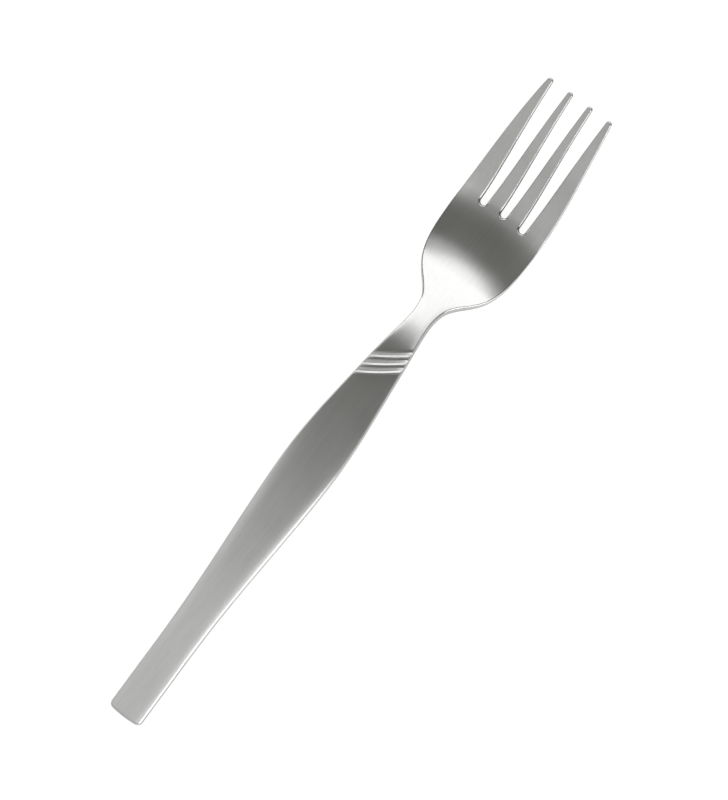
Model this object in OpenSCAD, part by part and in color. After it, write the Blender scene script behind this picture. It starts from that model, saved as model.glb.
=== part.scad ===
// Dinner fork, one stamped and satin brushed blank of stainless steel, in millimetres.
// It lies on its back: +X runs from the handle end to the tips, +Z is up, and the origin
// is under the middle of its bounding box, on the surface that the fork rests on.

/* [Lengths] */
// Length of the handle, from its end to the neck
handle_l = 121; // [90:1:150]
// Length of the neck
neck_l = 12.5; // [10:0.5:20]
// Length of the bowl, from the neck to the foot of the tines
bowl_l = 30; // [26:0.5:40]
// Length of the tines in front of the bowl
tine_l = 35; // [25:0.5:50]

/* [Widths] */
// Width of the handle near its end
handle_end_w = 10; // [8:0.1:12]
// Largest width of the handle
handle_max_w = 15.2; // [12.5:0.1:20]
// Width of the narrowest place of the neck
neck_w = 6.3; // [5:0.1:8]
// Largest width of the head
head_w = 26.4; // [24:0.1:30]
// Distance from one slot's middle to the next, and from tine to tine
tine_pitch = 6.35; // [5.8:0.05:6.8]
// Width of a tine at its tip
tine_tip_w = 1.6; // [1.2:0.1:2.4]
// Width of a slot at its round root
slot_root_w = 2; // [1.6:0.1:2.6]

/* [Thicknesses] */
// Thickness at the handle's end, above the surface it rests on
handle_end_t = 1.9; // [1.5:0.1:2.4]
// Thickness of the handle
handle_t = 2.4; // [2:0.1:3]
// Thickness of the neck
neck_t = 3.2; // [2.6:0.1:4]
// Thickness of the bowl
bowl_t = 1.8; // [1.5:0.1:2.6]
// Thickness of the tines at their tips
tine_tip_t = 1.2; // [0.9:0.1:1.6]

/* [Heights] */
// Height of the handle's top where its arch is highest
crest_h = 8.7; // [6:0.1:13]
// Height of the tines' top at their tips
tip_h = 15.4; // [9:0.1:20]
// How far the handle's top is crowned from edge to middle
crown_h = 0.45; // [0.1:0.05:0.8]
// How far the head's edges stand above its middle line where the tines begin to rise
dish_h = 1.2; // [0.2:0.05:1.5]
// Depth that is cut flat under the bowl, where the fork rests
rest_cut = 0.12; // [0.05:0.01:0.2]

/* [Edges] */
// Radius of the handle's and neck's long edges
handle_edge_r = 0.6; // [0.3:0.05:0.9]
// Radius of the head's long edges
head_edge_r = 0.4; // [0.2:0.05:0.55]
// Radius of the handle's two end corners, seen from above
corner_r = 1.3; // [0.9:0.1:2.5]
// How far the handle's end bulges out in its middle
end_bulge = 0.4; // [0.1:0.05:1]

/* [Grooves] */
// Width of a groove at the surface
groove_w = 1.1; // [0.7:0.05:1.4]
// Depth of a groove
groove_depth = 0.25; // [0.1:0.01:0.35]
// Distance between two grooves along the handle
groove_step = 2.6; // [2:0.1:4]
// Distance from the handle's front to the middle of the front groove
groove_back = 4.3; // [3:0.1:8]
// Radius of each groove's arc, seen from above
groove_arc_r = 55; // [30:1:90]
// Angle between the grooves and the handle's length, in degrees
groove_angle = 53.3; // [45:0.1:70]

/* [Hidden] */

// Places along the fork, counted from the handle's end
neck_x = handle_l;
bowl_x = handle_l + neck_l;
base_x = bowl_x + bowl_l;
fork_l = base_x + tine_l;

// The middle slot ends this much nearer to the tips than the outer two
mid_slot_short = 0.4;
slot_root_r = slot_root_w / 2;
mid_root_x = base_x - slot_root_r;
outer_root_x = mid_root_x - mid_slot_short;

// How far the handle's widest place and its arch's crest lie behind the neck
widest_back = 38;
crest_back = 9;
// How far the narrowest place lies in front of the handle
waist_ahead = 8;
// How far the bowl's lowest and widest place lies behind the foot of the tines
floor_back = 5.5;
// How far the head's deepest dish lies in front of the foot of the tines
dish_ahead = 4;
widest_x = handle_l - widest_back;
crest_x = handle_l - crest_back;
waist_x = handle_l + waist_ahead;
floor_x = base_x - floor_back;
dish_x = base_x + dish_ahead;
floor_h = bowl_t - rest_cut;

// Half widths as shares, from the end to the widest place
swell_shares = [[0, 0], [0.15, 0], [0.3, 0.005], [0.41, 0.08], [0.54, 0.27], [0.66, 0.51],
    [0.78, 0.745], [0.9, 0.94], [1, 1]];
// From the widest place down to the waist
taper_shares = [[0.15, 0.94], [0.26, 0.86], [0.375, 0.74], [0.49, 0.615], [0.6, 0.49],
    [0.715, 0.355], [0.83, 0.2], [0.94, 0.045]];
// From the waist out to the full head
shoulder_shares = [[0, 0], [0.086, 0.018], [0.176, 0.087], [0.266, 0.27], [0.355, 0.52],
    [0.445, 0.72], [0.534, 0.84], [0.624, 0.915], [0.714, 0.957], [0.8, 0.98], [0.9, 0.993]];
// How fast the head's outer edges draw in towards the tips
draw_in_power = 1.75;
draw_in_steps = 12;

// Heights of the top as shares, from the end to the crest
rise_shares = [[0, 0], [0.07, 0.1], [0.18, 0.27], [0.36, 0.52], [0.54, 0.72], [0.71, 0.87],
    [0.89, 0.975], [1, 1]];
// From the crest down to the bowl's floor
drop_shares = [[0.1, 0.99], [0.2, 0.943], [0.3, 0.843], [0.4, 0.7], [0.5, 0.528], [0.6, 0.34],
    [0.7, 0.17], [0.8, 0.053], [0.9, 0.008]];
// From the floor up to the tips
tine_rise_shares = [[0, 0], [0.1, 0.018], [0.2, 0.06], [0.3, 0.15], [0.42, 0.305], [0.6, 0.565],
    [0.8, 0.82], [1, 1]];

// Depth of the head's dish, from the waist to the bowl's floor
dish_shares = [[0.5, 0.2], [0.75, 0.68], [1, 0.9]];

// Rings of the lofts: how many along each region, and how fine their corners and faces are
handle_rings = 44;
neck_rings = 8;
bowl_rings = 26;
tine_rings = 20;
end_steps = 4;
corner_steps = 3;
face_steps = 8;
tine_face_steps = 2;
groove_rings = 18;
groove_sides = 12;

// The least radius of an edge, and how far along a tine its slot edges take to round off
edge_min_r = 0.05;
edge_grow_l = 2;
// Most that an edge's radius may take of the width or thickness it rounds
edge_limit_share = 0.45;
// Radius that rounds the tips off
tip_r = min(head_edge_r, edge_limit_share * tine_tip_t);
// Half the stretch of the top line that gives its lean at a place
lean_step = 0.25;
// How far from the handle's end its bulge reaches
bulge_l = 10;
// The crown falls off late, near the handle's edges, and the dish evenly
crown_power = 4;
dish_power = 2;
// How far a cutter runs past what it cuts
over = 1;
groove_count = 3;

// Place of x in a table, for the curve below
function place(pts, x, i = 0) = i >= len(pts) - 2 || x < pts[i + 1][0] ? i : place(pts, x, i + 1);

// Slope from point i to the next
function step_slope(pts, i) = (pts[i + 1][1] - pts[i][1]) / (pts[i + 1][0] - pts[i][0]);

// Slope of the curve at point i, from the parabola through it and its neighbours
function knot_slope(pts, i) =
    i == 0 ? step_slope(pts, 0)
    : i == len(pts) - 1 ? step_slope(pts, i - 1)
    : let(
        back = pts[i][0] - pts[i - 1][0],
        ahead = pts[i + 1][0] - pts[i][0]
    ) (step_slope(pts, i - 1) * ahead + step_slope(pts, i) * back) / (back + ahead);

// Smooth curve through the points of a table, at x
function curve_at(pts, x) =
    let(
        i = place(pts, x),
        l = pts[i + 1][0] - pts[i][0],
        u = min(1, max(0, (x - pts[i][0]) / l))
    )
    pts[i][1] * (2 * u ^ 3 - 3 * u ^ 2 + 1) + pts[i + 1][1] * (3 * u ^ 2 - 2 * u ^ 3)
    + l * (knot_slope(pts, i) * (u ^ 3 - 2 * u ^ 2 + u) + knot_slope(pts, i + 1) * (u ^ 3 - u ^ 2));

// A table of shares, set between two places and two values
function spread(shares, x0, x1, v0, v1) =
    [for (p = shares) [x0 + p[0] * (x1 - x0), v0 + p[1] * (v1 - v0)]];

tip_span_w = 3 * tine_pitch + tine_tip_w;
half_w_pts = concat(
    spread(swell_shares, 0, widest_x, handle_end_w / 2, handle_max_w / 2),
    spread(taper_shares, widest_x, waist_x, neck_w / 2, handle_max_w / 2),
    spread(shoulder_shares, waist_x, floor_x, neck_w / 2, head_w / 2),
    [for (i = [0:draw_in_steps])
        let(u = i / draw_in_steps)
        [floor_x + u * (fork_l - floor_x),
            head_w / 2 - u ^ draw_in_power * (head_w - tip_span_w) / 2]]
);
top_pts = concat(
    spread(rise_shares, 0, crest_x, handle_end_t, crest_h),
    spread(drop_shares, crest_x, floor_x, floor_h, crest_h),
    spread(tine_rise_shares, floor_x, fork_l, floor_h, tip_h)
);
thick_pts = [
    [0, handle_t],
    [widest_x, handle_t],
    [neck_x, (handle_t + neck_t) / 2],
    [waist_x, neck_t],
    [(waist_x + floor_x) / 2, (neck_t + 2 * bowl_t) / 3],
    [floor_x, bowl_t],
    [base_x, bowl_t],
    [fork_l, tine_tip_t]
];
crown_pts = concat(
    [[0, crown_h], [crest_x, crown_h], [waist_x, crown_h / 2]],
    spread(dish_shares, waist_x, floor_x, 0, -dish_h),
    [[dish_x, -dish_h], [fork_l, -dish_h / 4]]
);
edge_pts = [
    [0, handle_edge_r],
    [neck_x, handle_edge_r],
    [bowl_x, (handle_edge_r + head_edge_r) / 2],
    [(waist_x + floor_x) / 2, head_edge_r],
    [fork_l, head_edge_r]
];

function half_w(x) = curve_at(half_w_pts, x);
function side_share(x, y, power) = (abs(y) / half_w(x)) ^ power;

// How far the blank leans up at x, in degrees
function lean(x) =
    atan((curve_at(top_pts, x + lean_step) - curve_at(top_pts, x - lean_step)) / (2 * lean_step));

// The blank is bent, so its sections stand square to its top line: the point at depth below x
function at_depth(x, y, depth) = [x + depth * sin(lean(x)), y, curve_at(top_pts, x) - depth * cos(lean(x))];

// Depths of the two faces. The handle is flat underneath, and the head's underside follows its dish
function dish_depth(x, y) = min(0, curve_at(crown_pts, x)) * side_share(x, y, dish_power);
function top_depth(x, y) =
    dish_depth(x, y) + max(0, curve_at(crown_pts, x)) * side_share(x, y, crown_power);
function under_depth(x, y) = curve_at(thick_pts, x) + dish_depth(x, y);
function thick_at(x, y) = under_depth(x, y) - top_depth(x, y);

// Radius of the long edge at x and y, limited by the thickness there
function edge_r(x, y) = min(curve_at(edge_pts, x), edge_limit_share * thick_at(x, y));

// One quarter turn of an edge: [how far in, how far down]
function edge_turn(r) = [for (k = [0:corner_steps])
    let(a = 90 * k / corner_steps)
    [r * (1 - cos(a)), r * (1 - sin(a))]];

function back_to_front(list) = [for (i = [len(list) - 1:-1:0]) list[i]];

// Half of a section, from its low y to its high y: [y, how far the edge's turn takes it in]
function face_line(y0, y1, r0, r1, steps) = concat(
    [for (p = edge_turn(r0)) [y0 + p[0], p[1]]],
    [for (k = [1:steps - 1]) [y0 + r0 + (y1 - r1 - y0 - r0) * k / steps, 0]],
    back_to_front([for (p = edge_turn(r1)) [y1 - p[0], p[1]]])
);

// Closed section across the fork at x, from y0 to y1, drawn in by pinch above and below
function section(x, y0, y1, r0, r1, steps, pinch = 0) =
    let(line = face_line(y0, y1, r0, r1, steps))
    concat(
        [for (p = line) at_depth(x, p[0], top_depth(x, p[0]) + p[1] + pinch)],
        back_to_front([for (p = line) at_depth(x, p[0], under_depth(x, p[0]) - p[1] - pinch)])
    );

// Closed solid through a row of rings with equal, even counts of points. Each end is closed by a
// band of quads between the two halves of its ring, so a section may be bent like a bowl
module loft(rings) {
    n = len(rings[0]);
    last = len(rings) - 1;
    points = [for (ring = rings) each ring];
    far = last * n;
    sides = [for (i = [0:last - 1], j = [0:n - 1])
        let(
            a = i * n + j,
            b = i * n + (j + 1) % n
        )
        each [[a, b, b + n], [a, b + n, a + n]]];
    near_cap = [for (j = [0:n / 2 - 2])
        each [[j + 1, j, n - 1 - j], [j + 1, n - 1 - j, n - 2 - j]]];
    far_cap = [for (j = [0:n / 2 - 2])
        each [[far + j, far + j + 1, far + n - 2 - j], [far + j, far + n - 2 - j, far + n - 1 - j]]];
    polyhedron(points, concat(sides, near_cap, far_cap));
}

function steps_between(x0, x1, n) = [for (i = [0:n]) x0 + (x1 - x0) * i / n];

// Section of the whole blank at x, edge to edge
function blank_section(x) =
    let(
        w = half_w(x),
        r = edge_r(x, w)
    )
    section(x, -w, w, r, r, face_steps);

// Section near the handle's end, at turn a of its corners: narrower, thinner and bulged
function end_section(a) =
    let(
        x = corner_r * (1 - cos(a)),
        w = half_w(x) - corner_r * (1 - sin(a)),
        full_r = edge_r(0, handle_end_w / 2),
        thin = full_r * (1 - sqrt(1 - max(0, 1 - x / full_r) ^ 2)),
        r = max(edge_min_r, full_r - thin)
    )
    section(x, -w, w, r, r, face_steps, thin);

// The end's bulge sets each point back by its distance from the middle line
function bulged(ring) = [for (p = ring)
    [p[0] + end_bulge * max(0, 1 - p[0] / bulge_l) ^ 2 * side_share(0, p[1], 2), p[1], p[2]]];

// Takes away what reaches below the surface that the fork rests on
module stand_flat(x0, x1) {
    difference() {
        children();
        translate([x0 - over, -head_w, -2 * over])
            cube([x1 - x0 + 2 * over, 2 * head_w, 2 * over]);
    }
}

// Middle of the groove that is number i from the front, on the fork's middle line
function groove_x(i) = neck_x - groove_back - i * groove_step;

// Point of groove i at turn a of its arc
function groove_point(i, a) =
    let(
        turn = 180 + 90 - groove_angle + a,
        hub = [groove_x(i) + groove_arc_r * sin(groove_angle), groove_arc_r * cos(groove_angle)]
    )
    [hub[0] + groove_arc_r * cos(turn), hub[1] + groove_arc_r * sin(turn)];

// Cutter for groove i: a round bar bent along its arc, half sunk in the handle's top
module groove_cutter(i) {
    bar_r = (groove_w ^ 2 / 4 + groove_depth ^ 2) / (2 * groove_depth);
    reach = handle_max_w / groove_arc_r * 180 / PI / 2;
    rings = [for (k = [0:groove_rings])
        let(
            a = reach * (2 * k / groove_rings - 1),
            p = groove_point(i, a),
            turn = 180 + 90 - groove_angle + a,
            z = at_depth(p[0], p[1], top_depth(p[0], p[1]))[2] + bar_r - groove_depth
        )
        [for (j = [0:groove_sides - 1])
            let(b = 360 * (j + 0.5) / groove_sides)
            [p[0] + bar_r * cos(b) * cos(turn), p[1] + bar_r * cos(b) * sin(turn), z + bar_r * sin(b)]]];
    loft(rings);
}

// Sets the origin under the middle of the whole fork
module in_frame() {
    translate([-fork_l / 2, 0, 0])
        children();
}

module handle() {
    color("silver")
    in_frame()
    difference() {
        stand_flat(0, handle_l)
            loft(concat(
                [for (k = [0:end_steps]) bulged(end_section(90 * k / end_steps))],
                [for (x = steps_between(corner_r, neck_x, handle_rings))
                    if (x > corner_r) bulged(blank_section(x))]
            ));
        for (i = [0:groove_count - 1])
            groove_cutter(i);
    }
}

module neck() {
    color("silver")
    in_frame()
    loft([for (x = steps_between(neck_x, bowl_x, neck_rings)) blank_section(x)]);
}

// Cutter for the closed end of a slot, with a true round root, square to the blank
module slot_cutter(root_x, y) {
    hub_x = root_x + slot_root_r;
    tall = bowl_t + 2 * over;
    translate(at_depth(hub_x, y, bowl_t + over))
        rotate([0, -lean(hub_x), 0]) {
            cylinder(r = slot_root_r, h = tall, $fn = 48);
            translate([0, -slot_root_r, 0])
                cube([slot_root_w, slot_root_w, tall]);
        }
}

module bowl() {
    color("silver")
    in_frame()
    difference() {
        stand_flat(bowl_x, base_x)
            loft([for (x = steps_between(bowl_x, base_x, bowl_rings)) blank_section(x)]);
        slot_cutter(mid_root_x, 0);
        for (side = [-1, 1])
            slot_cutter(outer_root_x, side * tine_pitch);
    }
}

// Half width of a slot at x, straight from its root to the tips
function slot_half_w(x) =
    slot_root_r + (tine_pitch - tine_tip_w - slot_root_w) / 2 * (x - base_x) / tine_l;

// Section of the tine whose middle line is at lane times the pitch from the fork's own
function tine_section(x, lane, draw = 0, pinch = 0) =
    let(
        outer = abs(lane) > 1,
        slot_in = tine_pitch * (abs(lane) - 0.5) + slot_half_w(x),
        slot_out = tine_pitch * (abs(lane) + 0.5) - slot_half_w(x),
        near_y = slot_in + draw,
        far_y = (outer ? half_w(x) : slot_out) - draw,
        full_r = min(head_edge_r, edge_limit_share * min(far_y - near_y, thick_at(x, far_y))),
        r = max(edge_min_r, full_r - pinch),
        slot_r = max(edge_min_r, min(1, (x - base_x) / edge_grow_l) * r),
        far_r = outer ? r : slot_r
    )
    lane > 0
        ? section(x, near_y, far_y, slot_r, far_r, tine_face_steps, pinch)
        : section(x, -far_y, -near_y, far_r, slot_r, tine_face_steps, pinch);

// The tine's end is square to it, so its lower edge reaches on to the fork's full length
tips_x = fork_l - (tine_tip_t - tip_r) * sin(lean(fork_l - lean_step));

// The tip is drawn in round, above and below as well as from the sides
function tip_section(a, lane) =
    let(draw = tip_r * (1 - cos(a)))
    tine_section(tips_x - tip_r * (1 - sin(a)), lane, draw, draw);

module tine(lane) {
    color("silver")
    in_frame()
    loft(concat(
        [for (x = steps_between(base_x, tips_x - tip_r, tine_rings)) tine_section(x, lane)],
        [for (k = [1:end_steps]) tip_section(90 * k / end_steps, lane)]
    ));
}

module tine_1() { tine(1.5); }
module tine_2() { tine(0.5); }
module tine_3() { tine(-0.5); }
module tine_4() { tine(-1.5); }

handle();
neck();
bowl();
tine_1();
tine_2();
tine_3();
tine_4();
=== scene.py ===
# Dinner fork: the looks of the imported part, in metres, in the same frame as the CAD.
# The surface is built in the flat blank's own places, in millimetres: x along the fork from the
# handle's end, y across, and depth below the top line. The blank is then bent into its real shape.
import math
from collections import namedtuple

import bpy
import numpy as np
from mathutils import Matrix, Vector


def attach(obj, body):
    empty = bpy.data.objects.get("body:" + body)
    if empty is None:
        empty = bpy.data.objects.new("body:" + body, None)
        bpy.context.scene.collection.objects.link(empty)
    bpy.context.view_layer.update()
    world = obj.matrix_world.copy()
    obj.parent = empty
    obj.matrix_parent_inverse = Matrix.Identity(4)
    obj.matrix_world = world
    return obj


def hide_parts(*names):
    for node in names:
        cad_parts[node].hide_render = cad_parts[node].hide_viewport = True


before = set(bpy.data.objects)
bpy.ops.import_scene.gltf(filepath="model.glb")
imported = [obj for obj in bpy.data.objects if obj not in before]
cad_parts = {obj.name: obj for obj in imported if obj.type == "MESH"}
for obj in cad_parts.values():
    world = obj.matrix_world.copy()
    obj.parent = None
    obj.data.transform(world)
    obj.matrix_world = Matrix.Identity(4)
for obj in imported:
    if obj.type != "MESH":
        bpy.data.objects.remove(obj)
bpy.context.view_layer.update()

MM = 0.001
BODY = "root"
SLOT = "satin_steel"

# Sizes of the fork, in millimetres, as in the part's source
handle_l = 121.0
neck_l = 12.5
bowl_l = 30.0
tine_l = 35.0
handle_end_w = 10.0
handle_max_w = 15.2
neck_w = 6.3
head_w = 26.4
tine_pitch = 6.35
tine_tip_w = 1.6
slot_root_w = 2.0
handle_end_t = 1.9
handle_t = 2.4
neck_t = 3.2
bowl_t = 1.8
tine_tip_t = 1.2
crest_h = 8.7
tip_h = 15.4
crown_h = 0.45
dish_h = 1.2
rest_cut = 0.12
handle_edge_r = 0.6
head_edge_r = 0.4
corner_r = 1.3
end_bulge = 0.4
groove_w = 1.1
groove_depth = 0.25
groove_step = 2.6
groove_back = 4.3
groove_arc_r = 55.0
groove_angle = math.radians(53.3)
groove_count = 3

# Places along the fork, counted from the handle's end, and how far the key ones lie from the
# ends of their regions
widest_back = 38.0
crest_back = 9.0
waist_ahead = 8.0
floor_back = 5.5
dish_ahead = 4.0
neck_x = handle_l
bowl_x = neck_x + neck_l
base_x = bowl_x + bowl_l
fork_l = base_x + tine_l
widest_x = handle_l - widest_back
crest_x = handle_l - crest_back
waist_x = handle_l + waist_ahead
floor_x = base_x - floor_back
dish_x = base_x + dish_ahead
mid_head_x = (waist_x + floor_x) / 2
floor_h = bowl_t - rest_cut
bulge_l = 10.0
crown_power = 4
dish_power = 2
mid_slot_short = 0.4
slot_root_r = slot_root_w / 2
lean_step = 0.25

# Outlines and heights, as shares of the sizes that they follow
swell_shares = [[0, 0], [0.15, 0], [0.3, 0.005], [0.41, 0.08], [0.54, 0.27], [0.66, 0.51],
                [0.78, 0.745], [0.9, 0.94], [1, 1]]
taper_shares = [[0.15, 0.94], [0.26, 0.86], [0.375, 0.74], [0.49, 0.615], [0.6, 0.49],
                [0.715, 0.355], [0.83, 0.2], [0.94, 0.045]]
shoulder_shares = [[0, 0], [0.086, 0.018], [0.176, 0.087], [0.266, 0.27], [0.355, 0.52],
                   [0.445, 0.72], [0.534, 0.84], [0.624, 0.915], [0.714, 0.957], [0.8, 0.98],
                   [0.9, 0.993]]
draw_in_power = 1.75
draw_in_steps = 12
rise_shares = [[0, 0], [0.07, 0.1], [0.18, 0.27], [0.36, 0.52], [0.54, 0.72], [0.71, 0.87],
               [0.89, 0.975], [1, 1]]
drop_shares = [[0.1, 0.99], [0.2, 0.943], [0.3, 0.843], [0.4, 0.7], [0.5, 0.528], [0.6, 0.34],
               [0.7, 0.17], [0.8, 0.053], [0.9, 0.008]]
tine_rise_shares = [[0, 0], [0.1, 0.018], [0.2, 0.06], [0.3, 0.15], [0.42, 0.305], [0.6, 0.565],
                    [0.8, 0.82], [1, 1]]
dish_shares = [[0.5, 0.2], [0.75, 0.68], [1, 0.9]]

# The edges and the grooves' profile as the render shows them
slot_edge_r = 0.5
tip_edge_r = 0.45
tip_grow_l = 3.0
edge_limit_share = 0.45
groove_lip = 0.035
groove_floor = 0.08
groove_sag = 0.1

# Painted shade on the cut sides: a near-black colour stands in for the dark that these sides
# mirror, and for the shade in the slots' roots. It grows with the cosine of an edge's turn, between
# the two values that follow, and sooner at the slots' roots.
painted_shade_from = 0.7
painted_shade_full = 1.0
root_painted_shade_from = 0.25
root_shade_and_polish_l = 2.5
slot_painted_shade_fade_l = 24.0
slot_painted_shade_shares = [0.95, 0.65]
edge_painted_shade_places = [20.0, 60.0, 100.0, waist_x, bowl_x, mid_head_x]
edge_painted_shade_shares = [0.4, 0.2, 0.2, 0.5, 0.4, 0.2]

# How finely the surface is divided: rings along the fork, columns across it
end_ring_step = 0.4
plain_rings = 75
groove_rings = 104
past_groove_rings = 10
neck_rings = 14
bowl_rings = 28
slot_root_rings = 13
tine_rings = 32
tip_rings = 12
tine_steps = 8
root_steps = 12
edge_steps = 7

# Where the spacing of the rings and columns changes
end_rings_l = 6.0
grooves_from_x = 106.5
past_grooves_l = 1.5
slot_rings_l = 5.0
lanes_ahead = 2.0
lanes_back = 1.0
root_zone_l = 4.0
slot_reach = 0.6
tip_rings_l = 2.4
tip_turn_l = 1.8
tip_round_l = 0.25
shift_power = 4

# Small steps: for slopes, for places that count as the same, and to keep a length above zero
probe = 0.01
same_place = 1e-6
least = 1e-9

# The tines' middle lines and the slots between them, in tine pitches to the left of the fork's
# own middle line, and the pieces in the order in which the surface is built
LANES = [-1.5, -0.5, 0.5, 1.5]
SLOTS = [-1, 0, 1]
PIECES = ["handle", "neck", "bowl", "tine_4", "tine_3", "tine_2", "tine_1"]
FIRST_TINE = PIECES.index("tine_4")
lane_columns = tine_steps + root_steps
columns = len(LANES) * tine_steps + len(SLOTS) * root_steps
even_shares = np.linspace(-1, 1, columns + 1)
slot_ring_r = slot_root_r + slot_edge_r

Strip = namedtuple("Strip", "points normals places walls polish")
Surface = namedtuple("Surface", "points normals places walls polish faces owners caps")


def spread(shares, x0, x1, v0, v1):
    """A table of shares, set between two places and two values."""
    return [[x0 + a * (x1 - x0), v0 + b * (v1 - v0)] for a, b in shares]


class Curve:
    """Smooth curve through the points of a table, with parabola slopes at its points."""

    def __init__(self, points):
        self.x, self.v = np.array(points, float).T
        gaps = np.diff(self.x)
        steps = np.diff(self.v) / gaps
        inner = (steps[:-1] * gaps[1:] + steps[1:] * gaps[:-1]) / (gaps[:-1] + gaps[1:])
        self.slope = np.concatenate([steps[:1], inner, steps[-1:]])

    def __call__(self, x):
        x = np.asarray(x, float)
        i = np.clip(np.searchsorted(self.x, x, side="right") - 1, 0, len(self.x) - 2)
        gap = self.x[i + 1] - self.x[i]
        u = np.clip((x - self.x[i]) / gap, 0, 1)
        bend = self.slope[i] * (u**3 - 2 * u**2 + u) + self.slope[i + 1] * (u**3 - u**2)
        start = self.v[i] * (2 * u**3 - 3 * u**2 + 1)
        return start + self.v[i + 1] * (3 * u**2 - 2 * u**3) + gap * bend


def draw_in_points():
    """The head's outer edges, from its widest place to the tips."""
    tip_span_w = len(SLOTS) * tine_pitch + tine_tip_w
    shares = [i / draw_in_steps for i in range(draw_in_steps + 1)]
    return [[floor_x + u * (fork_l - floor_x),
             head_w / 2 - u**draw_in_power * (head_w - tip_span_w) / 2] for u in shares]


half_w = Curve(
    spread(swell_shares, 0, widest_x, handle_end_w / 2, handle_max_w / 2)
    + spread(taper_shares, widest_x, waist_x, neck_w / 2, handle_max_w / 2)
    + spread(shoulder_shares, waist_x, floor_x, neck_w / 2, head_w / 2)
    + draw_in_points()
)
top_line = Curve(
    spread(rise_shares, 0, crest_x, handle_end_t, crest_h)
    + spread(drop_shares, crest_x, floor_x, floor_h, crest_h)
    + spread(tine_rise_shares, floor_x, fork_l, floor_h, tip_h)
)
thickness = Curve([
    [0, handle_t], [widest_x, handle_t], [neck_x, (handle_t + neck_t) / 2], [waist_x, neck_t],
    [mid_head_x, (neck_t + 2 * bowl_t) / 3], [floor_x, bowl_t], [base_x, bowl_t],
    [fork_l, tine_tip_t],
])
crown = Curve(
    [[0, crown_h], [crest_x, crown_h], [waist_x, crown_h / 2]]
    + spread(dish_shares, waist_x, floor_x, 0, -dish_h)
    + [[dish_x, -dish_h], [fork_l, -dish_h / 4]]
)
edge_size = Curve([
    [0, handle_edge_r], [neck_x, handle_edge_r], [bowl_x, (handle_edge_r + head_edge_r) / 2],
    [mid_head_x, head_edge_r], [fork_l, head_edge_r],
])


def smooth(u):
    """From 0 to 1 with level ends."""
    u = np.clip(u, 0, 1)
    return u * u * (3 - 2 * u)


def slope_of(curve, x):
    """Slope of a curve at x."""
    return (curve(x + lean_step) - curve(x - lean_step)) / (2 * lean_step)


tip_lean = math.atan(float(slope_of(top_line, fork_l - lean_step)))
tips_x = fork_l - (tine_tip_t - tip_edge_r) * math.sin(tip_lean)


def tip_share(x):
    """How near x is to the tips, from 0 to 1 over the last stretch."""
    return smooth((x - (tips_x - tip_grow_l)) / tip_grow_l)


def outer_edge_r(x):
    """Radius of the outer long edges."""
    r = np.minimum(edge_size(x), edge_limit_share * thickness(x))
    return r + (tip_edge_r - r) * tip_share(x)


def slot_side_r(x):
    """Radius of the edges along a slot."""
    return slot_edge_r + (tip_edge_r - slot_edge_r) * tip_share(x)


def slot_half_w(x):
    """Half width of a slot, straight from its root to the tips."""
    grown = (tine_pitch - tine_tip_w - slot_root_w) / 2
    return slot_root_r + grown * (x - base_x) / tine_l


# Depths on the flat blank

def side_share(x, y, power):
    """From 0 on the middle line to 1 at the sides."""
    return (np.abs(y) / half_w(x))**power


def off_groove(number, x, y):
    """Distance from the middle line of a groove."""
    hub_x = neck_x - groove_back - number * groove_step + groove_arc_r * math.sin(groove_angle)
    hub_y = groove_arc_r * math.cos(groove_angle)
    off = np.hypot(x - hub_x, y - hub_y) - groove_arc_r
    return np.where(x < neck_x + groove_w, off, groove_arc_r)


def groove_height(x, y):
    """How far the deepest groove at x and y lies below the crowned top, negative away from it."""
    wall_slope = groove_depth / (groove_w / 2 - groove_floor)
    best = np.full(np.shape(x), -groove_w)
    for i in range(groove_count):
        fall = wall_slope * (np.hypot(off_groove(i, x, y), groove_floor) - groove_floor)
        best = np.maximum(best, groove_depth - groove_sag / 2 - fall)
    return best


def sag_depth(x, y):
    """The slight hollow round each groove, which leaves the lands between them crowned."""
    reach = groove_step / 2
    shares = [np.maximum(0, 1 - (off_groove(i, x, y) / reach)**2)**2 for i in range(groove_count)]
    return groove_sag * sum(shares)


def cut_share(edge_depth, groove):
    """How much of the surface is the groove's, where it meets the edge's own depth."""
    return smooth(0.5 + (groove - edge_depth) / (2 * groove_lip))


def joined_depth(edge_depth, groove):
    """The deeper of the two, with a small lip between them."""
    h = np.clip(0.5 + (groove - edge_depth) / (2 * groove_lip), 0, 1)
    return edge_depth + (groove - edge_depth) * h + groove_lip * h * (1 - h)


def dish_depth(x, y):
    """Depth of the dished head, negative at its raised sides."""
    return np.minimum(0, crown(x)) * side_share(x, y, dish_power)


def top_depth(x, y):
    """Depth of the top, grooves left off."""
    crowned = np.maximum(0, crown(x)) * side_share(x, y, crown_power)
    return dish_depth(x, y) + crowned + sag_depth(x, y)


def under_depth(x, y):
    """Depth of the underside."""
    return thickness(x) + dish_depth(x, y)


def bend(x, y, depth):
    """Place in the real fork of a point of the flat blank, in millimetres."""
    lean = np.arctan(slope_of(top_line, x))
    px = x + depth * np.sin(lean)
    pz = top_line(x) - depth * np.cos(lean)
    px = px + end_bulge * np.maximum(0, 1 - px / bulge_l)**2 * (y / (handle_end_w / 2))**2
    return np.stack([px - fork_l / 2, y, pz], axis=-1)


def bent_normal(x, y, depth, flat_normal):
    """Turns a normal of the flat blank with the bend."""
    step_x = (bend(x + probe, y, depth) - bend(x - probe, y, depth)) / (2 * probe)
    step_y = (bend(x, y + probe, depth) - bend(x, y - probe, depth)) / (2 * probe)
    step_d = (bend(x, y, depth + probe) - bend(x, y, depth - probe)) / (2 * probe)
    turned = (np.cross(step_y, step_d) * flat_normal[..., 0:1]
              + np.cross(step_d, step_x) * flat_normal[..., 1:2]
              + np.cross(step_x, step_y) * flat_normal[..., 2:3])
    # The blank's depth runs down, so its frame is left-handed and the sum points inwards
    turned = -turned
    return turned / np.linalg.norm(turned, axis=-1, keepdims=True)


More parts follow.
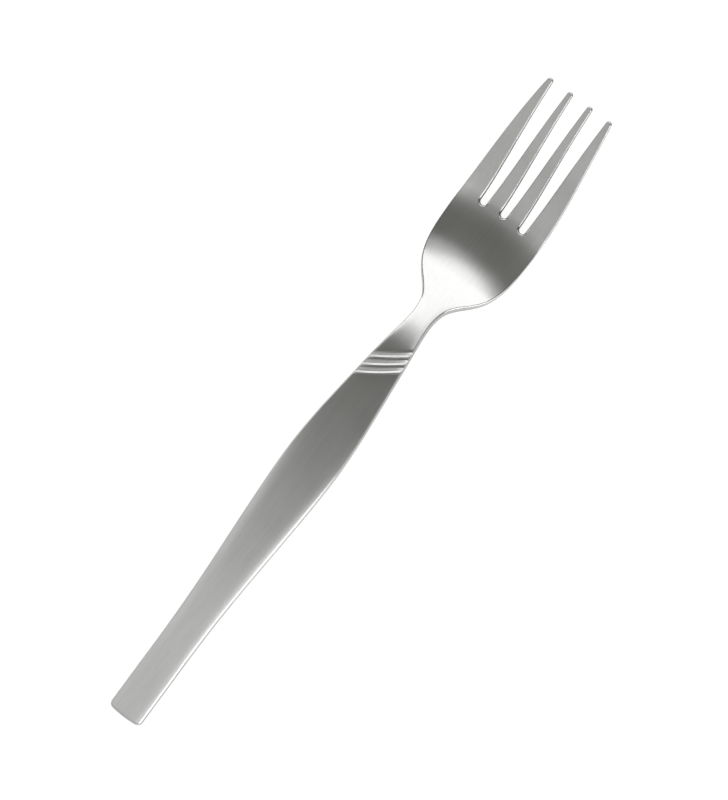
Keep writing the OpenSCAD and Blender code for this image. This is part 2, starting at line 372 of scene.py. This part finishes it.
def slopes(height, x, y):
    """Slopes of a height function along x and y."""
    along = (height(x + probe, y) - height(x - probe, y)) / (2 * probe)
    across = (height(x, y + probe) - height(x, y - probe)) / (2 * probe)
    return np.stack([along, across], axis=-1)


def with_depth(flat_xy, depth):
    """A flat direction and its share of depth as one normal for each point."""
    return np.column_stack([flat_xy, np.full(len(flat_xy), depth)])


# The flat blank's plan: rings of points, with the edges' rounding left off

def rounded_edge_in(x):
    """How far the rounding takes the outer edge in: along x and across."""
    r = outer_edge_r(x)
    slope = slope_of(half_w, x)
    length = np.sqrt(1 + slope**2)
    return r * slope / length, r / length


def lane_places(x):
    """Columns across the head at x, as the tines and slots need them."""
    w = float(half_w(x) - rounded_edge_in(x)[1])
    side = np.sin(np.linspace(-math.pi / 2, math.pi / 2, root_steps + 1))
    edges = [-w]
    for k in SLOTS:
        edges += [k * tine_pitch - slot_ring_r, k * tine_pitch + slot_ring_r]
    edges.append(w)
    places = []
    for n in range(len(LANES)):
        places += list(np.linspace(edges[2 * n], edges[2 * n + 1], tine_steps + 1)[:-1])
        if n < len(SLOTS):
            places += list(SLOTS[n] * tine_pitch + slot_ring_r * side[:-1])
    return np.array(places + [w])


def ring_places():
    """Places of the rings along the handle, neck and bowl, closest together at the grooves."""
    slots_x = base_x - mid_slot_short
    stretches = [
        (end_rings_l, grooves_from_x, plain_rings),
        (grooves_from_x, neck_x, groove_rings),
        (neck_x, neck_x + past_grooves_l, past_groove_rings),
        (neck_x + past_grooves_l, bowl_x, neck_rings),
        (bowl_x, base_x - slot_rings_l, bowl_rings),
        (base_x - slot_rings_l, slots_x, slot_root_rings),
    ]
    places = [np.arange(handle_edge_r, end_rings_l, end_ring_step)]
    for start, stop, count in stretches:
        places.append(np.linspace(start, stop, count + 1)[:-1])
    return np.concatenate(places + [[slots_x, base_x]])


def body_plan():
    """Places of the rings of handle, neck and bowl, and their plan points."""
    xs = ring_places()
    rings = []
    lanes_from_x = bowl_x + lanes_ahead
    lanes_full_x = base_x - root_zone_l - lanes_back
    corner_in = corner_r - handle_edge_r
    for x in xs:
        shift, inset = rounded_edge_in(x)
        w = float(half_w(x) - inset)
        y = w * even_shares
        share = float(smooth((x - lanes_from_x) / (lanes_full_x - lanes_from_x)))
        if share > 0:
            y = y + share * (lane_places(x) - y)
        px = x + shift * even_shares**shift_power
        fade = 1 - float(smooth((x - handle_edge_r) / root_zone_l))
        past = np.clip(np.abs(y) - (w - corner_in), 0, corner_in)
        px = px + fade * (corner_in - np.sqrt(corner_in**2 - past**2))
        for k in SLOTS:
            hub = base_x if k == 0 else base_x - mid_slot_short
            near = np.maximum(slot_ring_r**2 - (y - k * tine_pitch)**2, 0)
            px = px - float(smooth((x - hub + root_zone_l) / root_zone_l)) * np.sqrt(near)
        rings.append(np.stack([px, y], axis=-1))
    return xs, np.array(rings)


def tine_plan(lane):
    """Plan points of one tine in front of the bowl, ring by ring."""
    end_x = tips_x - tip_edge_r
    long_xs = np.linspace(base_x, end_x - tip_rings_l, tine_rings + 1)[1:-1]
    tip_xs = np.linspace(end_x - tip_rings_l, end_x, tip_rings + 1)
    even = np.linspace(-1, 1, tine_steps + 1)
    sines = np.sin(even * math.pi / 2)
    rings = []
    for x in np.concatenate([long_xs, tip_xs]):
        slot_in = slot_half_w(x) + slot_side_r(x)
        low = math.floor(lane) * tine_pitch + slot_in
        high = (math.floor(lane) + 1) * tine_pitch - slot_in
        outer = float(half_w(x) - rounded_edge_in(x)[1])
        if lane == LANES[0]:
            low = -outer
        if lane == LANES[-1]:
            high = outer
        share = float(smooth((x - end_x + tip_turn_l) / tip_turn_l))
        across = even + share * (sines - even)
        y = (low + high) / 2 + (high - low) / 2 * across
        px = x - share * tip_round_l * (1 - np.sqrt(np.maximum(1 - across**2, 0)))
        rings.append(np.stack([px, y], axis=-1))
    return np.array(rings)


def body_piece(x):
    """Number of the piece that ends at x or past it: handle, neck or bowl."""
    return int(x > neck_x + same_place) + int(x > bowl_x + same_place)


def build_plan():
    """All plan points that a quad uses, and the quads with the number of their piece."""
    xs, rings = body_plan()
    points = [rings.reshape(-1, 2)]
    row = columns + 1
    quads, piece = [], []
    for i in range(len(xs) - 1):
        for j in range(columns):
            in_slot = j % lane_columns >= tine_steps
            outer_slot = j // lane_columns != 1
            # The outer slots are shorter than the middle one by the last ring
            if in_slot and outer_slot and i == len(xs) - 2:
                continue
            a = i * row + j
            quads.append([a, a + row, a + row + 1, a + 1])
            piece.append(body_piece(xs[i + 1]))
    count = len(points[0])
    last = (len(xs) - 1) * row
    for n, lane in enumerate(LANES):
        start = last + n * lane_columns
        prior = [start + j for j in range(tine_steps + 1)]
        for ring in tine_plan(lane):
            points.append(ring)
            here = [count + j for j in range(tine_steps + 1)]
            count += tine_steps + 1
            for j in range(tine_steps):
                quads.append([prior[j], here[j], here[j + 1], prior[j + 1]])
                piece.append(FIRST_TINE + n)
            prior = here
    used, flat = np.unique(quads, return_inverse=True)
    return np.concatenate(points)[used], flat.reshape(len(quads), 4), np.array(piece)


# The surface: top, underside and the rounded rim between them

def edge_owners(quads):
    """The quad on the inner side of each directed edge."""
    owner = {}
    for f, q in enumerate(quads.tolist()):
        for k in range(4):
            owner[(q[k], q[(k + 1) % 4])] = f
    return owner


def outward(plan, rim, border):
    """Direction out of the plan at each point of its rim."""
    ahead = dict(rim)
    behind = {b: a for a, b in rim}
    here = plan[border]
    to_next = plan[[ahead[v] for v in border]] - here
    to_last = here - plan[[behind[v] for v in border]]
    along = to_next / np.linalg.norm(to_next, axis=1)[:, None]
    along = along + to_last / np.linalg.norm(to_last, axis=1)[:, None]
    along /= np.linalg.norm(along, axis=1)[:, None]
    return np.stack([along[:, 1], -along[:, 0]], axis=-1)


def painted_wall_shade(x, out, at_slot):
    """How dark the painted shade is along the rim, and where on the edge's turn it starts."""
    slot_share = np.interp(x, [base_x, base_x + slot_painted_shade_fade_l], slot_painted_shade_shares)
    edge_share = np.interp(x, edge_painted_shade_places, edge_painted_shade_shares)
    near_root = smooth(1 - (x - base_x) / root_shade_and_polish_l)
    # Painted shade in the slots' roots, deepest where the rim faces the tips and the fork's right
    root_share = at_slot * near_root * np.clip(out[:, 0] - out[:, 1], 0, 1)
    start = painted_shade_from + root_share * (root_painted_shade_from - painted_shade_from)
    return np.where(at_slot, slot_share, edge_share), start


def edge_polish(x):
    """Smoother polish of the edges of the neck, the bowl, the slots' roots and the tips."""
    before_tines = smooth((x - neck_x) / neck_l) - smooth((x - base_x) / root_shade_and_polish_l)
    return before_tines + tip_share(x)


def rim_strip(here, out):
    """The rounded edges and the straight side between them, in columns that run down the rim from
    here, turning out.
    """
    x, y = here.T
    gap = np.min([np.abs(y - k * tine_pitch) for k in SLOTS], axis=0)
    in_reach = gap < slot_half_w(np.maximum(x, base_x)) + slot_reach
    at_slot = (x > base_x - root_zone_l) & in_reach
    r = np.where(at_slot, slot_side_r(x), outer_edge_r(x))
    wall_h = thickness(x) - np.maximum(crown(x), 0) - 2 * r
    painted_shade_share, painted_shade_start = painted_wall_shade(x, out, at_slot)

    rows = 2 * edge_steps
    points = np.zeros((len(here), rows, 3))
    normals = np.zeros_like(points)
    places = np.zeros((len(here), rows, 2))
    walls = np.zeros((len(here), rows))
    for k, turn in enumerate(np.linspace(math.pi / 2, 0, edge_steps + 1)[1:]):
        mirror = rows - 1 - k
        px = x + out[:, 0] * r * math.cos(turn)
        py = y + out[:, 1] * r * math.cos(turn)
        edge_depth = r * (1 - math.sin(turn))
        # Painted shade: the colour darkens as the edge turns upright
        upright = smooth((math.cos(turn) - painted_shade_start) / (painted_shade_full - painted_shade_start))
        walls[:, [k, mirror]] = (upright * painted_shade_share)[:, None]

        groove = groove_height(px, py)
        depth = top_depth(px, py) + joined_depth(edge_depth, groove)
        share = cut_share(edge_depth, groove)[:, None]
        rise = slopes(top_depth, px, py)
        dig = slopes(groove_height, px, py)
        flat_xy = math.sin(turn) * (rise + share * dig) + (1 - share) * math.cos(turn) * out
        flat_normal = with_depth(flat_xy, -math.sin(turn) - least)
        points[:, k] = bend(px, py, depth)
        normals[:, k] = bent_normal(px, py, depth, flat_normal)
        places[:, k] = here + out * (r * (math.pi / 2 - turn))[:, None]

        depth = under_depth(px, py) - r * (1 - math.sin(turn))
        flat_xy = -math.sin(turn) * slopes(under_depth, px, py) + math.cos(turn) * out
        points[:, mirror] = bend(px, py, depth)
        normals[:, mirror] = bent_normal(px, py, depth, with_depth(flat_xy, math.sin(turn)))
        places[:, mirror] = here + out * (r * (math.pi / 2 + turn) + wall_h)[:, None]

    polish = np.repeat(edge_polish(x)[:, None], rows, axis=1)
    return Strip(points.reshape(-1, 3), normals.reshape(-1, 3), places.reshape(-1, 2),
                 walls.ravel(), polish.ravel())


def top_side(plan):
    """Points and normals of the top, grooves and all, inside the edges' rounding."""
    x, y = plan.T
    level = np.zeros(len(plan))
    groove = groove_height(x, y)
    share = cut_share(level, groove)[:, None]
    flat_xy = slopes(top_depth, x, y)
    flat_xy = flat_xy + share * slopes(groove_height, x, y)
    depth = top_depth(x, y) + joined_depth(level, groove)
    return bend(x, y, depth), bent_normal(x, y, depth, with_depth(flat_xy, -1.0))


def under_side(plan):
    """Points and normals of the underside, inside the edges' rounding."""
    x, y = plan.T
    depth = under_depth(x, y)
    flat_xy = -slopes(under_depth, x, y)
    return bend(x, y, depth), bent_normal(x, y, depth, with_depth(flat_xy, 1.0))


def piece_seams(owner, piece):
    """For each side of each seam between two pieces, the piece and the plan points across it."""
    seams = {}
    for (a, b), f in owner.items():
        g = owner.get((b, a))
        if g is not None and piece[f] != piece[g]:
            seams.setdefault((piece[f], piece[g]), {})[a] = b
    chains = []
    for (part, _), links in seams.items():
        chain = [(set(links) - set(links.values())).pop()]
        while chain[-1] in links:
            chain.append(links[chain[-1]])
        chains.append((part, chain[::-1]))
    return chains


def build_surface():
    """The whole fork as one surface, with the faces' pieces and the loops that close each piece."""
    plan, quads, piece = build_plan()
    m = len(plan)
    owner = edge_owners(quads)
    rim = [(a, b) for (a, b) in owner if (b, a) not in owner]
    border = sorted(v for v, _ in rim)
    number = {v: q for q, v in enumerate(border)}
    strip = rim_strip(plan[border], outward(plan, rim, border))
    top, top_normal = top_side(plan)
    under, under_normal = under_side(plan)

    points = np.concatenate([top, under, strip.points])
    normals = np.concatenate([top_normal, under_normal, strip.normals])
    places = np.concatenate([plan, plan, strip.places])
    # Painted shade only on the rim, none on the top or the underside
    walls = np.concatenate([np.zeros(2 * m), strip.walls])
    polish = np.concatenate([np.zeros(2 * m), strip.polish])
    # The two rests: what the bend leaves below the floor is cut level with it
    sunk = points[:, 2] < 0
    normals[sunk & (normals[:, 2] < 0)] = [0, 0, -1]
    points[:, 2] = np.maximum(points[:, 2], 0)

    rows = 2 * edge_steps

    def side(v):
        """The column of points from the top of the rim at v down to its underside."""
        first = 2 * m + number[v] * rows
        return [v] + list(range(first, first + rows)) + [m + v]

    faces = [list(q) for q in quads] + [[m + v for v in q[::-1]] for q in quads]
    owners = list(piece) + list(piece)
    for a, b in rim:
        near, far = side(a), side(b)
        for k in range(rows + 1):
            faces.append([far[k], near[k], near[k + 1], far[k + 1]])
            owners.append(piece[owner[(a, b)]])

    caps = []
    for part, chain in piece_seams(owner, piece):
        down = side(chain[-1])[1:-1]
        back = [m + v for v in chain[::-1]]
        up = side(chain[0])[1:-1][::-1]
        caps.append((part, chain + down + back + up))
    return Surface(points, normals, places, walls, polish, faces, np.array(owners), caps)


# The brushing's own coordinates, which run across the blank and then along it
brushing_per_m = 4
brushing_start = [0.5, 0.1]


def surface_object(name, surface, number, material):
    """One closed piece of the fork's surface, with the whole surface's own smooth normals."""
    mine = [surface.faces[f] for f in np.nonzero(surface.owners == number)[0]]
    lids = [loop for part, loop in surface.caps if part == number]
    used = sorted({v for face in mine + lids for v in face})
    index = {v: k for k, v in enumerate(used)}
    faces = [[index[v] for v in face] for face in mine + lids]
    mesh = bpy.data.meshes.new(name)
    mesh.from_pydata((surface.points[used] * MM).tolist(), [], faces)
    mesh.shade_smooth()

    order = np.array([v for face in mine for v in face])
    loop_normals = [surface.normals[order]]
    for loop in lids:
        ring = surface.points[loop]
        area = np.cross(ring, np.roll(ring, -1, axis=0)).sum(axis=0)
        loop_normals.append(np.tile(area / np.linalg.norm(area), (len(loop), 1)))
    mesh.normals_split_custom_set(np.concatenate(loop_normals).tolist())

    order = np.array([v for face in mine + lids for v in face])
    across_along = surface.places[order][:, ::-1] * MM * brushing_per_m + brushing_start
    brushed = mesh.uv_layers.new(name="brushing")
    brushed.data.foreach_set("uv", across_along.ravel())
    # The painted shade for each point, which the material reads to darken the colour
    wall = mesh.attributes.new("wall", "FLOAT", "POINT")
    wall.data.foreach_set("value", surface.walls[used])
    edge = mesh.attributes.new("edge", "FLOAT", "POINT")
    edge.data.foreach_set("value", surface.polish[used])
    mesh.materials.append(material)
    piece = bpy.data.objects.new(name, mesh)
    bpy.context.scene.collection.objects.link(piece)
    return piece


# Materials

dark_steel = (0.574, 0.58, 0.572, 1)
light_steel = (0.634, 0.64, 0.63, 1)
# Near-black colour of the painted shade on the cut sides
painted_shade_colour = (0.03, 0.03, 0.03, 1)
grain_scale = (25, 1500, 1500)
grain_detail = 4.0
grain_roughness = 0.65
grain_range = (0.25, 0.75)
grain_relief = 0.00002
grain_strength = 0.12
cloud_scale = 45.0
cloud_detail = 3.0
cloud_range = (0.3, 0.7)
brushed_blur = 0.8
brushed_roughness = (0.27, 0.33)
edge_roughness = 0.18
floor_grey = (0.35, 0.35, 0.35, 1)
floor_glow = (1, 1, 1, 1)
floor_lift = 0.85


def add(tree, kind, place, inputs=(), **settings):
    """A node with its settings and the plain values of its inputs."""
    node = tree.nodes.new(kind)
    node.location = place
    for key, value in settings.items():
        setattr(node, key, value)
    for key, value in dict(inputs).items():
        node.inputs[key].default_value = value
    return node


def join(tree, source, output, target, socket):
    """A link from an output of one node to an input of another."""
    tree.links.new(source.outputs[output], target.inputs[socket])


def new_material(name, inputs):
    """A material, its node tree and its shader, with the plain values of the shader's inputs."""
    material = bpy.data.materials.new(name)
    material.use_nodes = True
    shader = material.node_tree.nodes["Principled BSDF"]
    for key, value in inputs.items():
        shader.inputs[key].default_value = value
    return material, material.node_tree, shader


def satin_steel():
    """Stainless steel, finely brushed along the fork, so it blurs what it mirrors across it."""
    material, tree, shader = new_material(SLOT, {"Metallic": 1.0, "Anisotropic": brushed_blur})
    place = add(tree, "ShaderNodeTexCoord", (-1400, 0))

    # Grain: fine lines along the fork
    stretch = add(tree, "ShaderNodeMapping", (-1200, 200), {"Scale": grain_scale})
    grain = add(tree, "ShaderNodeTexNoise", (-1000, 200),
                {"Scale": 1.0, "Detail": grain_detail, "Roughness": grain_roughness})
    join(tree, place, "Object", stretch, "Vector")
    join(tree, stretch, "Vector", grain, "Vector")

    # Tone: the grain's, and painted shade on the cut sides: a near-black colour for the dark they
    # mirror
    tone = add(tree, "ShaderNodeMapRange", (-700, 300),
               {"From Min": grain_range[0], "From Max": grain_range[1]})
    colour = add(tree, "ShaderNodeMix", (-400, 300), {"A": dark_steel, "B": light_steel},
                 data_type="RGBA")
    wall = add(tree, "ShaderNodeAttribute", (-400, 550), attribute_name="wall")
    painted_shade_mix = add(tree, "ShaderNodeMix", (-200, 400), {"B": painted_shade_colour}, data_type="RGBA")
    join(tree, grain, "Fac", tone, "Value")
    join(tree, tone, "Result", colour, "Factor")
    join(tree, wall, "Fac", painted_shade_mix, "Factor")
    join(tree, colour, "Result", painted_shade_mix, "A")
    join(tree, painted_shade_mix, "Result", shader, "Base Color")

    # Roughness: slightly uneven on the faces, finer on the polished edges
    cloud = add(tree, "ShaderNodeTexNoise", (-1000, -200),
                {"Scale": cloud_scale, "Detail": cloud_detail})
    rough = add(tree, "ShaderNodeMapRange", (-700, -200),
                {"From Min": cloud_range[0], "From Max": cloud_range[1],
                 "To Min": brushed_roughness[0], "To Max": brushed_roughness[1]})
    edge = add(tree, "ShaderNodeAttribute", (-400, -150), attribute_name="edge")
    polish = add(tree, "ShaderNodeMix", (-200, -200), {"B": edge_roughness}, data_type="FLOAT")
    join(tree, place, "Object", cloud, "Vector")
    join(tree, cloud, "Fac", rough, "Value")
    join(tree, edge, "Fac", polish, "Factor")
    join(tree, rough, "Result", polish, "A")
    join(tree, polish, "Result", shader, "Roughness")

    # Relief of the grain, and the direction of the brushing
    bump = add(tree, "ShaderNodeBump", (-400, -500),
               {"Strength": grain_strength, "Distance": grain_relief})
    brushing = add(tree, "ShaderNodeTangent", (-400, -700),
                   direction_type="UV_MAP", uv_map="brushing")
    join(tree, grain, "Fac", bump, "Height")
    join(tree, bump, "Normal", shader, "Normal")
    join(tree, brushing, "Tangent", shader, "Tangent")
    return material


def floor_material():
    """Plain white floor. What sees it directly or in a mirror gets the white, less the shadow."""
    material, tree, shader = new_material("white_floor", {
        "Base Color": floor_grey, "Roughness": 1.0, "Specular IOR Level": 0.0,
        "Emission Color": floor_glow})
    path = add(tree, "ShaderNodeLightPath", (-900, -200))
    seen = add(tree, "ShaderNodeMath", (-600, -200), operation="MAXIMUM")
    either = add(tree, "ShaderNodeMath", (-400, -200), operation="MAXIMUM")
    lift = add(tree, "ShaderNodeMath", (-200, -200), {1: floor_lift}, operation="MULTIPLY")
    join(tree, path, "Is Camera Ray", seen, 0)
    join(tree, path, "Is Glossy Ray", seen, 1)
    join(tree, seen, 0, either, 0)
    join(tree, path, "Is Transmission Ray", either, 1)
    join(tree, either, 0, lift, 0)
    join(tree, lift, 0, shader, "Emission Strength")
    return material


# Studio: the floor, the world and the lamps, in metres

floor_half = 4.0

# The world's brightness from the horizon up: how high each direction is, and its colour
horizon_z, horizon = 0.0, (0.55, 0.55, 0.55, 1)
middle_z, middle = 0.45, (0.3, 0.3, 0.283, 1)
overhead_z, overhead = 0.95, (0.127, 0.127, 0.117, 1)

# Level lamps: x from and to, y from and to, height, radiance. Where lamps overlap, they hang at
# slightly different heights.
tip_softboxes = {
    "tips_softbox": (1.33, 4.0, -0.1, 1.5, 3.0, 1.85),
    "tips_left_softbox": (1.17, 4.6, 1.5, 8.0, 3.0, 1.85),
    "tips_side_softbox": (0.76, 4.0, -1.3, -0.1, 2.95, 1.25),
}
other_softboxes = {
    "end_softbox": (-0.85, -0.62, -1.5, 7.5, 3.1, 0.29),
    "low_end_softbox": (-20.0, -7.0, -3.0, 7.5, 3.1, 0.5),
    "right_softbox": (-0.75, -0.42, -2.0, -1.0, 3.05, 2.4),
    "right_low_softbox": (-1.6, -0.42, -12.0, -2.0, 3.0, 2.4),
    "left_softbox": (-0.75, -0.38, 1.3, 7.5, 3.0, 0.65),
    "roots_side_softbox": (-0.48, -0.3, -3.0, -0.65, 0.57, 2.6),
    "tines_side_softbox": (-1.6, -0.48, -3.0, -1.0, 0.57, 2.9),
}

# Panels over the handle, one above the other, which brighten it towards its end: the x that
# each reaches, and its radiance
handle_panels = [(-0.03, 0.1), (-0.07, 0.085), (-0.115, 0.09), (-0.165, 0.15)]
panel_far_x = -0.76
panel_y0, panel_y1 = -0.3, 1.5
panel_height = 0.6
panel_gap = 0.01


def make_floor():
    """A wide plain floor at the height that the fork rests on."""
    mesh = bpy.data.meshes.new("floor")
    corners = [(-floor_half, -floor_half, 0), (floor_half, -floor_half, 0),
               (floor_half, floor_half, 0), (-floor_half, floor_half, 0)]
    mesh.from_pydata(corners, [], [(0, 1, 2, 3)])
    mesh.materials.append(floor_material())
    floor = bpy.data.objects.new("floor", mesh)
    bpy.context.scene.collection.objects.link(floor)


def make_world():
    """A studio that is pale all round and darker overhead, where the camera hangs."""
    world = bpy.data.worlds.new("studio")
    bpy.context.scene.world = world
    world.use_nodes = True
    tree = world.node_tree
    place = add(tree, "ShaderNodeTexCoord", (-900, 0))
    parts = add(tree, "ShaderNodeSeparateXYZ", (-700, 0))
    ramp = add(tree, "ShaderNodeValToRGB", (-500, 0))
    stops = ramp.color_ramp.elements
    stops[0].position, stops[0].color = horizon_z, horizon
    stops[1].position, stops[1].color = overhead_z, overhead
    stops.new(middle_z).color = middle
    join(tree, place, "Generated", parts, 0)
    join(tree, parts, "Z", ramp, "Fac")
    join(tree, ramp, "Color", tree.nodes["Background"], "Color")


def softbox(name, x0, x1, y0, y1, height, radiance):
    """A level rectangular lamp over the fork, as bright all over as radiance says."""
    lamp = bpy.data.lights.new(name, "AREA")
    lamp.shape = "RECTANGLE"
    lamp.size, lamp.size_y = x1 - x0, y1 - y0
    lamp.energy = radiance * math.pi * lamp.size * lamp.size_y
    light = bpy.data.objects.new(name, lamp)
    light.location = ((x0 + x1) / 2, (y0 + y1) / 2, height)
    bpy.context.scene.collection.objects.link(light)


def make_lights():
    """All lamps, which the steel mirrors, each over its own part of the fork."""
    for name, box in tip_softboxes.items():
        softbox(name, *box)
    for number, (near_x, radiance) in enumerate(handle_panels):
        height = panel_height + panel_gap * number
        softbox("handle_panel_%d" % number, panel_far_x, near_x, panel_y0, panel_y1,
                height, radiance)
    for name, box in other_softboxes.items():
        softbox(name, *box)


# Camera, as the photograph was taken: nearly overhead, leaning a little to the fork's right.
# The point look_at is at fork_px, fork_py in the photograph.

photo_w, photo_h = 728, 800
view_lean = math.radians(9.02)
view_pitch = math.radians(-1.0)
view_roll = math.radians(52.742)
pixels_per_m = 3862.3
fork_px, fork_py = 352.87, 410.30
camera_far = 1 / 0.6
look_at = Vector((0, 0, 0.005))
clip_near, clip_far = 0.05, 20


def make_camera():
    """The camera, leaning across the fork and turned about its own view line."""
    cp, sp = math.cos(view_pitch), math.sin(view_pitch)
    cl, sl = math.cos(view_lean), math.sin(view_lean)
    back = Vector((sp, -sl * cp, cl * cp))
    along = Vector((cp, sl * sp, -cl * sp))
    across = Vector((0, cl, sl))
    right = along * math.cos(view_roll) - across * math.sin(view_roll)
    up = along * math.sin(view_roll) + across * math.cos(view_roll)
    right_by = (photo_w / 2 - fork_px) / pixels_per_m
    up_by = (fork_py - photo_h / 2) / pixels_per_m
    centre = look_at + right * right_by + up * up_by
    data = bpy.data.cameras.new("camera")
    data.lens = pixels_per_m * camera_far * data.sensor_width / max(photo_w, photo_h)
    data.clip_start, data.clip_end = clip_near, clip_far
    camera = bpy.data.objects.new("camera", data)
    place = Matrix((right, up, back)).transposed().to_4x4()
    place.translation = centre + back * camera_far
    camera.matrix_world = place
    bpy.context.scene.collection.objects.link(camera)
    bpy.context.scene.camera = camera


make_camera()
steel = satin_steel()
surface = build_surface()
for number, node in enumerate(PIECES):
    piece = surface_object("satin_" + node, surface, number, steel)
    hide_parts(node)
    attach(piece, BODY)
make_floor()
make_world()
make_lights()
bpy.context.scene.view_settings.view_transform = "Standard"
